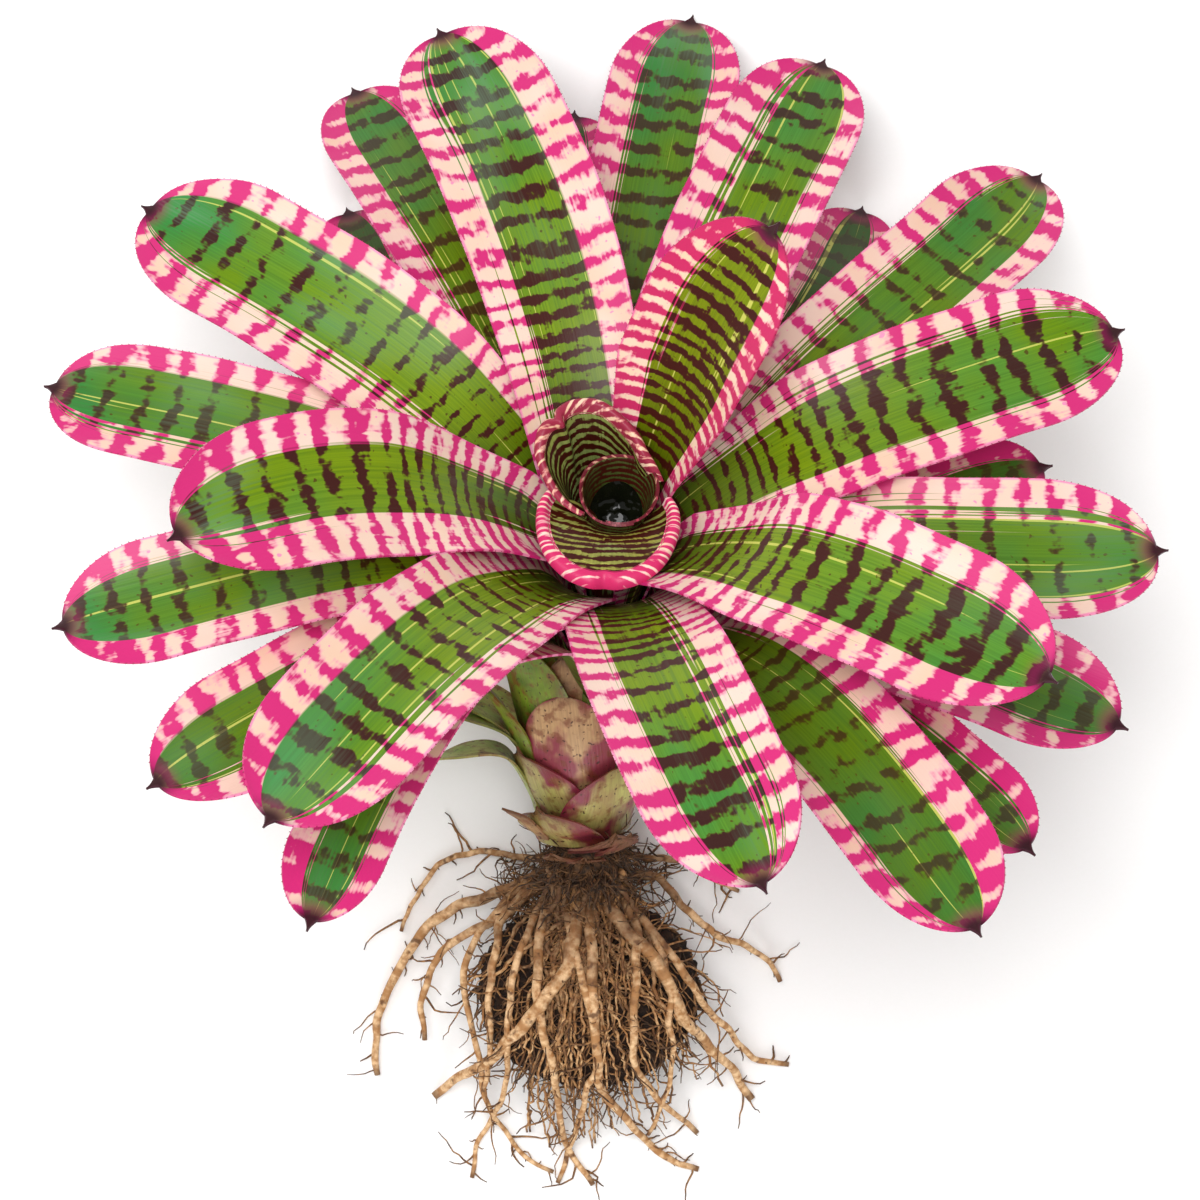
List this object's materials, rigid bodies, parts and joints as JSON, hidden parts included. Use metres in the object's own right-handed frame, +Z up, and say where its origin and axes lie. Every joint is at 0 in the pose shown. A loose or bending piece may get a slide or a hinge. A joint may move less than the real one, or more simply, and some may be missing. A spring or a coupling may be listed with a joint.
{
  "type": "neoregelia bromeliad",
  "caption": "Bare-rooted neoregelia bromeliad: a flat rosette of banded strap leaves round a water cup, on a short sheathed stem with wiry roots, laid down on a surface.",
  "frame": {"origin": "the lowest plane of the plant, under the middle of its bounding box", "axes": "+Z up, through the plant's thinnest extent as it lies; +Y from the roots towards the tips of the back leaves that it leans on; +X to the right as seen from above with the roots at the bottom"},
  "size_m": [0.3988, 0.442, 0.2814],
  "materials": {
    "leaf_blade": "satin",
    "cup_leaf": "satin",
    "old_sheath": "dull",
    "old_leaf": "dull",
    "root_bark": "matte",
    "root_soil": "matte"
  },
  "bodies": {
    "root": {"leaf_01": "leaf_blade", "leaf_02": "leaf_blade", "leaf_03": "leaf_blade", "leaf_04": "leaf_blade", "leaf_05": "leaf_blade", "leaf_06": "leaf_blade", "leaf_07": "leaf_blade", "leaf_08": "leaf_blade", "leaf_09": "leaf_blade", "leaf_10": "leaf_blade", "leaf_11": "leaf_blade", "leaf_12": "leaf_blade", "leaf_13": "leaf_blade", "leaf_14": "leaf_blade", "leaf_15": "leaf_blade", "leaf_16": "leaf_blade", "leaf_17": "leaf_blade", "leaf_18": "leaf_blade", "leaf_19": "leaf_blade", "leaf_20": "leaf_blade", "leaf_21": "leaf_blade", "leaf_22": "leaf_blade", "leaf_23": "leaf_blade", "leaf_24": "leaf_blade", "cup_tube": "cup_leaf", "cup_back": "cup_leaf", "cup_front": "cup_leaf", "sheath_bulb": "old_sheath", "sheath_left": "old_sheath", "sheath_right": "old_sheath", "sheath_lower": "old_sheath", "sheath_collar": "old_sheath", "stem": "old_sheath", "old_leaf_withered": "old_leaf", "old_leaf_green": "old_leaf", "main_roots": "root_bark", "root_core": "root_soil"}
  },
  "joints": []
}
